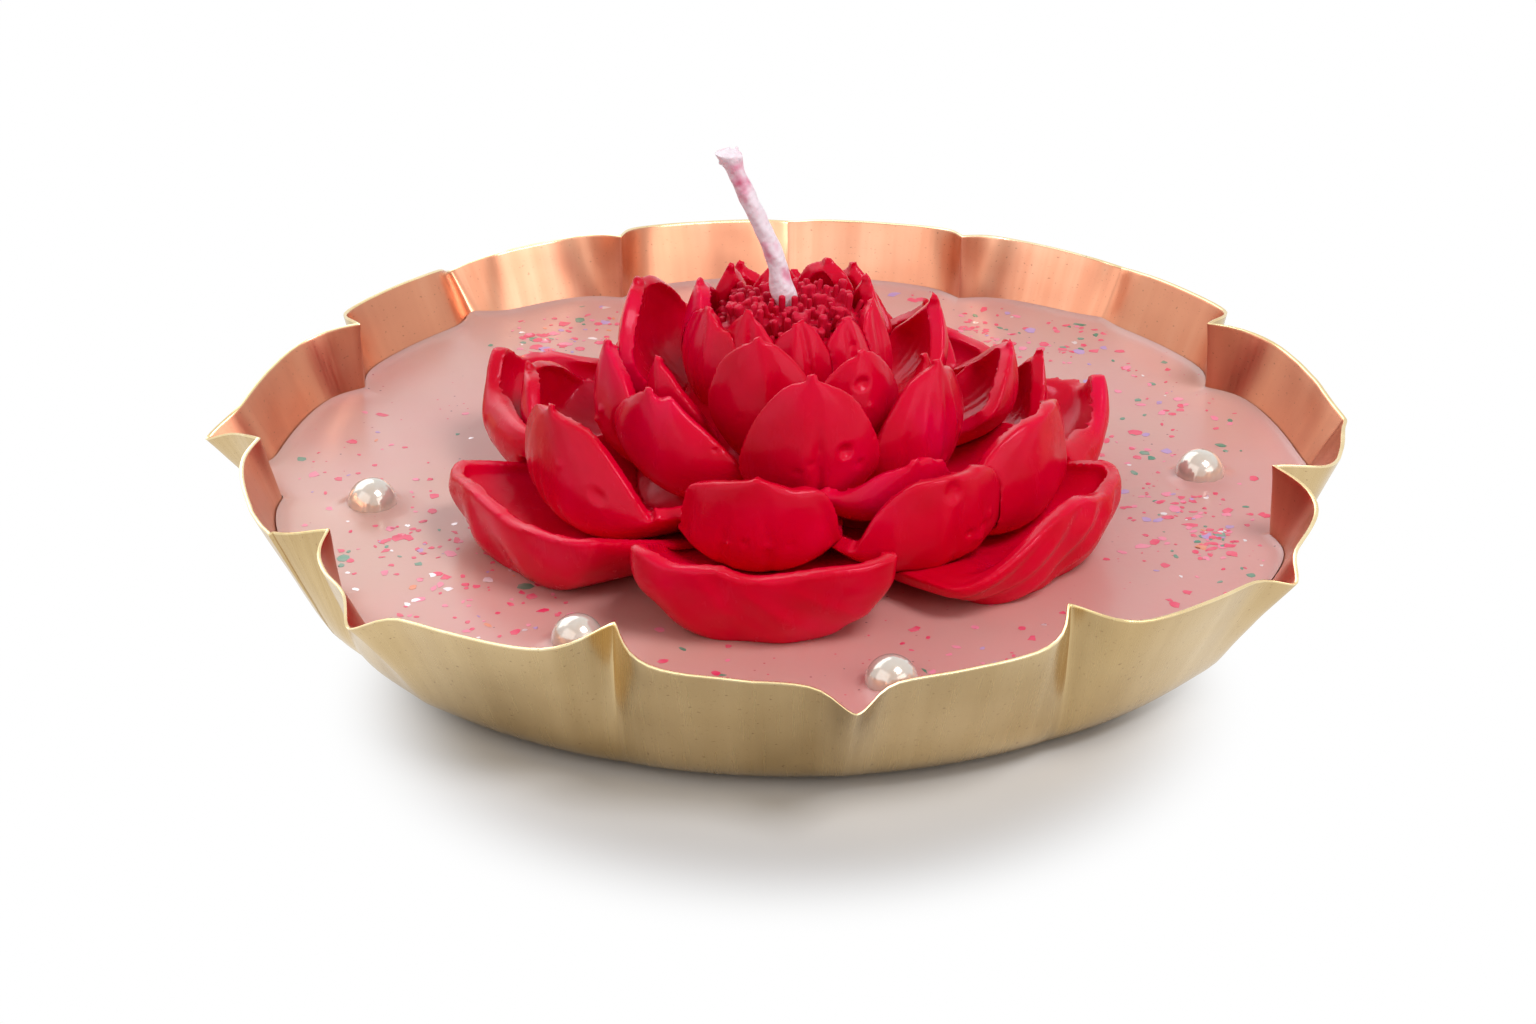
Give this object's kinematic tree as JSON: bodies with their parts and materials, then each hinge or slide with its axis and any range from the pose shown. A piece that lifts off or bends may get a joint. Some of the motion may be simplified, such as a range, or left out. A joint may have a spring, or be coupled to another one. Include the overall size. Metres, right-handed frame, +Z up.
{
  "type": "lotus candle",
  "caption": "Red wax lotus candle with a cotton wick, set with small pearls in a pale wax bed inside a shallow brass tray with a fluted, lobed wall.",
  "frame": {"origin": "centre of the tray's flat foot, on the surface that the tray stands on", "axes": "+Z up; the side with the front pearl faces -Y, and the wick leans towards -X"},
  "size_m": [0.14, 0.1397, 0.0553],
  "materials": {
    "brass": "satin, drawn marks",
    "pink_wax": "smooth wax with flakes of glitter",
    "red_wax": "satin wax",
    "pearl": "pearly",
    "wick_cotton": "waxed braided cotton",
    "tinned_steel": "stamped tinplate"
  },
  "bodies": {
    "root": {"brass_tray": "brass", "wax_bed": "pink_wax", "pearl_left": "pearl", "pearl_front_left": "pearl", "pearl_front": "pearl", "pearl_right": "pearl", "wick": "wick_cotton", "wick_sustainer": "tinned_steel", "flower_core": "red_wax", "stamen_cluster": "red_wax", "bud_petal_1": "red_wax", "bud_petal_2": "red_wax", "bud_petal_3": "red_wax", "bud_petal_4": "red_wax", "bud_petal_5": "red_wax", "bud_petal_6": "red_wax", "bud_petal_7": "red_wax", "bud_petal_8": "red_wax", "bud_petal_9": "red_wax", "bud_petal_10": "red_wax", "fourth_petal_1": "red_wax", "fourth_petal_2": "red_wax", "fourth_petal_3": "red_wax", "fourth_petal_4": "red_wax", "fourth_petal_5": "red_wax", "fourth_petal_6": "red_wax", "fourth_petal_7": "red_wax", "fourth_petal_8": "red_wax", "third_petal_1": "red_wax", "third_petal_2": "red_wax", "third_petal_3": "red_wax", "third_petal_4": "red_wax", "third_petal_5": "red_wax", "third_petal_6": "red_wax", "third_petal_7": "red_wax", "third_petal_8": "red_wax", "third_petal_9": "red_wax", "second_petal_1": "red_wax", "second_petal_2": "red_wax", "second_petal_3": "red_wax", "second_petal_4": "red_wax", "second_petal_5": "red_wax", "second_petal_6": "red_wax", "second_petal_7": "red_wax", "second_petal_8": "red_wax", "second_petal_9": "red_wax", "outer_petal_1": "red_wax", "outer_petal_2": "red_wax", "outer_petal_3": "red_wax", "outer_petal_4": "red_wax", "outer_petal_5": "red_wax", "outer_petal_6": "red_wax", "outer_petal_7": "red_wax"}
  },
  "joints": []
}
